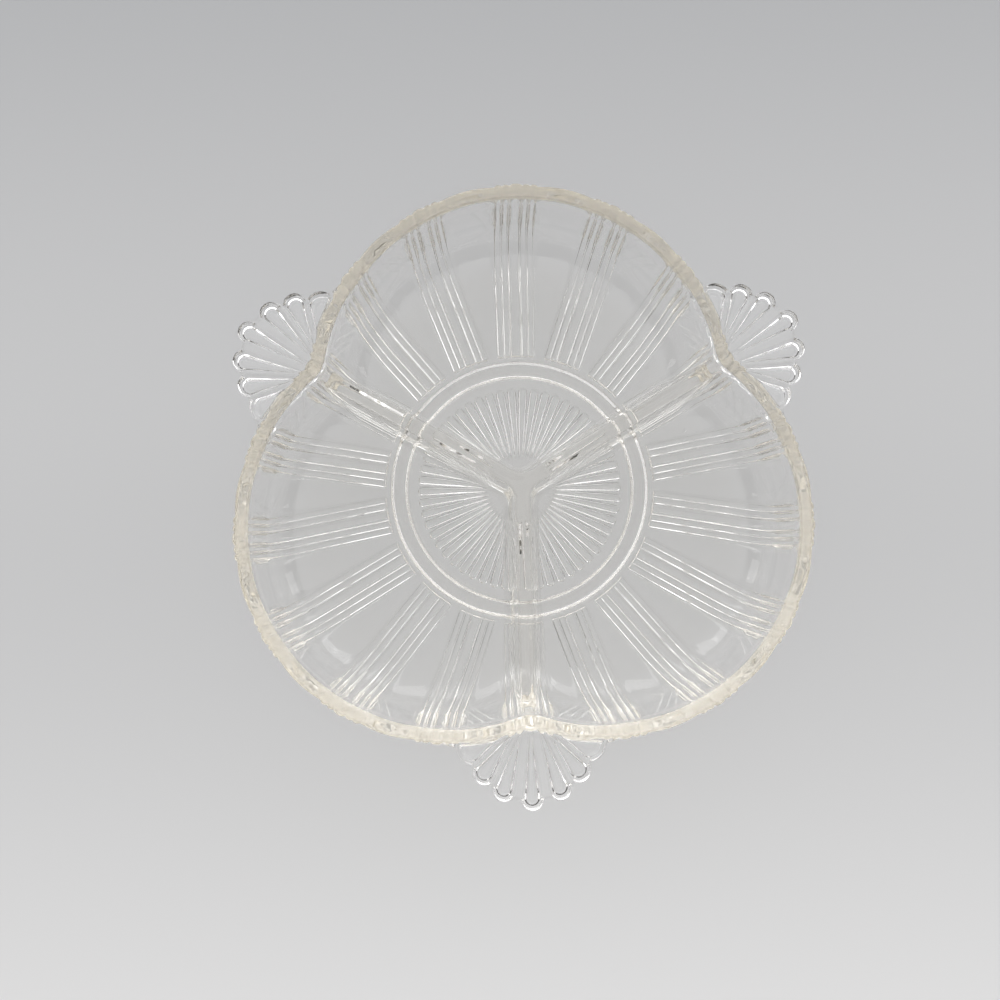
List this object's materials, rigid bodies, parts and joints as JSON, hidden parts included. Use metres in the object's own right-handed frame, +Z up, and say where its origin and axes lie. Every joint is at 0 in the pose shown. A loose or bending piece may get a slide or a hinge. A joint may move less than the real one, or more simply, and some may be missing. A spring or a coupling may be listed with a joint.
{
  "type": "relish tray",
  "caption": "Trefoil pressed-glass relish tray: round compartments between straight dividers, groups of reeds outside, and a fan-shaped shell handle at each cusp.",
  "frame": {"origin": "on the tray's axis, in the plane of the foot ring's flat underside", "axes": "+Z up along the tray's axis through the open top, +Y towards the middle of the rear lobe, -Y through the front handle, +X to the right"},
  "size_m": [0.1654, 0.1792, 0.034],
  "materials": {
    "clear_glass": "fire-polished clear pressed glass with a faint straw tint in thick sections"
  },
  "bodies": {
    "root": {"sunburst_base": "clear_glass", "foot_ring": "clear_glass", "rear_floor": "clear_glass", "left_floor": "clear_glass", "right_floor": "clear_glass", "rear_wall": "clear_glass", "left_wall": "clear_glass", "right_wall": "clear_glass", "rim": "clear_glass", "centre_divider": "clear_glass", "left_divider": "clear_glass", "right_divider": "clear_glass", "front_divider": "clear_glass", "left_handle": "clear_glass", "right_handle": "clear_glass", "front_handle": "clear_glass"}
  },
  "joints": []
}
